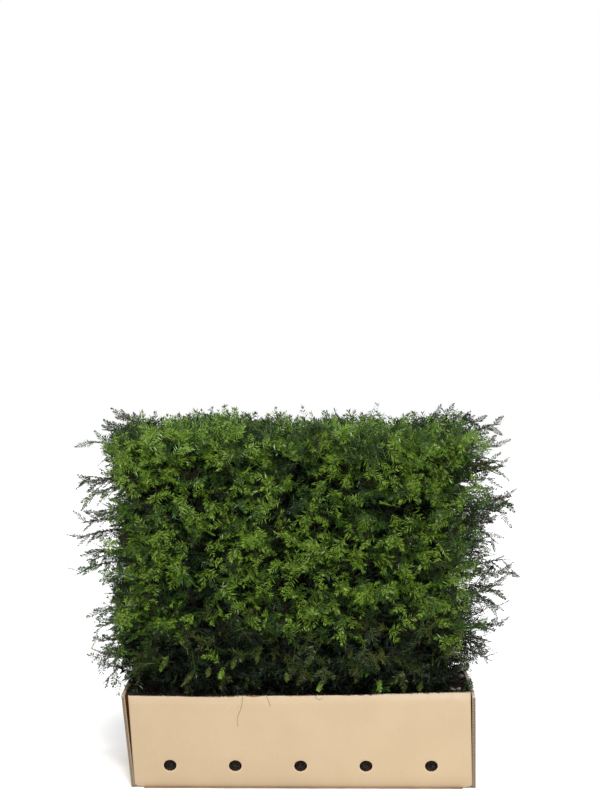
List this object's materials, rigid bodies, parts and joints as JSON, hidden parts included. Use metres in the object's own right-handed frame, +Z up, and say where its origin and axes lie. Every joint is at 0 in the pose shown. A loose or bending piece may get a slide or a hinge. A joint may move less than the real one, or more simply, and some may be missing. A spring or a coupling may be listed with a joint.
{
  "type": "potted yew hedge",
  "caption": "Clipped block of dark green yew hedge grown in a long brown corrugated cardboard planting box.",
  "frame": {"origin": "centre of the cardboard box's flat underside, on the ground", "axes": "+X along the box to the right as seen from the front, +Y from the front to the back, +Z up"},
  "size_m": [1.324, 0.4223, 1.0896],
  "materials": {
    "kraft_board": "matt",
    "end_board": "matt, open flutes at the cut edges",
    "soil": "damp, rough",
    "bark": "flaking",
    "needles_low": "satin",
    "needles_middle": "satin",
    "needles_top": "satin"
  },
  "bodies": {
    "root": {"bough_a_low_back": "bark", "bough_a_low_front": "bark", "bough_a_middle_back": "bark", "bough_a_middle_front": "bark", "bough_a_top_back": "bark", "bough_a_top_front": "bark", "bough_b_low_back": "bark", "bough_b_low_front": "bark", "bough_b_middle_back": "bark", "bough_b_middle_front": "bark", "bough_b_top_back": "bark", "bough_b_top_front": "bark", "bough_c_low_back": "bark", "bough_c_low_front": "bark", "bough_c_middle_back": "bark", "bough_c_middle_front": "bark", "bough_c_top_back": "bark", "bough_c_top_front": "bark", "bough_d_low_back": "bark", "bough_d_low_front": "bark", "bough_d_middle_back": "bark", "bough_d_middle_front": "bark", "bough_d_top_back": "bark", "bough_d_top_front": "bark", "end_left": "end_board", "end_right": "end_board", "mass_a_low_back": "needles_low", "mass_a_low_front": "needles_low", "mass_a_middle_back": "needles_middle", "mass_a_middle_front": "needles_middle", "mass_a_top_back": "needles_top", "mass_a_top_front": "needles_top", "mass_b_low_back": "needles_low", "mass_b_low_front": "needles_low", "mass_b_middle_back": "needles_middle", "mass_b_middle_front": "needles_middle", "mass_b_top_back": "needles_top", "mass_b_top_front": "needles_top", "mass_c_low_back": "needles_low", "mass_c_low_front": "needles_low", "mass_c_middle_back": "needles_middle", "mass_c_middle_front": "needles_middle", "mass_c_top_back": "needles_top", "mass_c_top_front": "needles_top", "mass_d_low_back": "needles_low", "mass_d_low_front": "needles_low", "mass_d_middle_back": "needles_middle", "mass_d_middle_front": "needles_middle", "mass_d_top_back": "needles_top", "mass_d_top_front": "needles_top", "soil": "soil", "stem_a": "bark", "stem_b": "bark", "stem_c": "bark", "stem_d": "bark", "tray": "kraft_board"}
  },
  "joints": []
}
